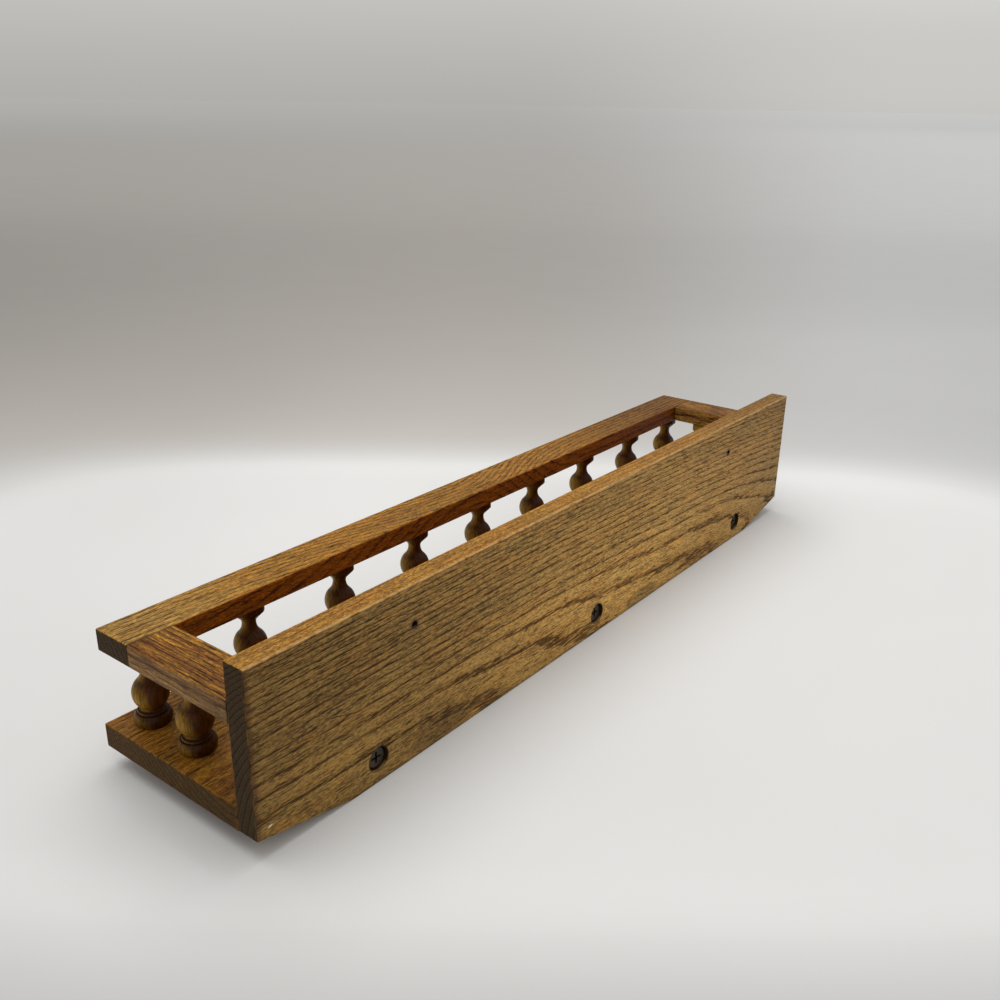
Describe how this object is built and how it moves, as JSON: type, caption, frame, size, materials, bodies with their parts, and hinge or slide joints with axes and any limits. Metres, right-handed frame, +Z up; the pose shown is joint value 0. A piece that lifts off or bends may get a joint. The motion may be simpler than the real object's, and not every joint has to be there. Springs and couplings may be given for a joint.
{
  "type": "wall plate rack",
  "caption": "Small oak wall rack: a flat back board with a shelf at its foot and a gallery rail on turned spindles round the front and sides, to hold plates upright.",
  "frame": {"origin": "under the middle of the rack, level with the lowest edge of the back board", "axes": "+Z up, +Y out of the rear face towards the wall, -Y towards the room, +X to the right seen from the front"},
  "size_m": [0.4064, 0.086, 0.0735],
  "materials": {
    "oak_back": "oiled oak with open pores, worn edges and dark end grain",
    "oak_shelf": "oiled oak, orange brown",
    "oak_front_rail": "oiled oak, golden brown top",
    "oak_side_rail": "oiled oak, red brown",
    "turned_wood": "dark olive brown stain with a satin gloss",
    "dark_screw": "blackened steel, cross slot",
    "dowel_wood": "bare beech"
  },
  "bodies": {
    "root": {"back_board": "oak_back", "shelf_board": "oak_shelf", "front_rail": "oak_front_rail", "side_rail_left": "oak_side_rail", "side_rail_right": "oak_side_rail", "spindle_corner_left": "turned_wood", "spindle_front_a": "turned_wood", "spindle_front_b": "turned_wood", "spindle_front_c": "turned_wood", "spindle_front_d": "turned_wood", "spindle_front_e": "turned_wood", "spindle_front_f": "turned_wood", "spindle_front_g": "turned_wood", "spindle_corner_right": "turned_wood", "spindle_side_left": "turned_wood", "spindle_side_right": "turned_wood", "shelf_screws": "dark_screw", "rail_dowels": "dowel_wood"}
  },
  "joints": []
}
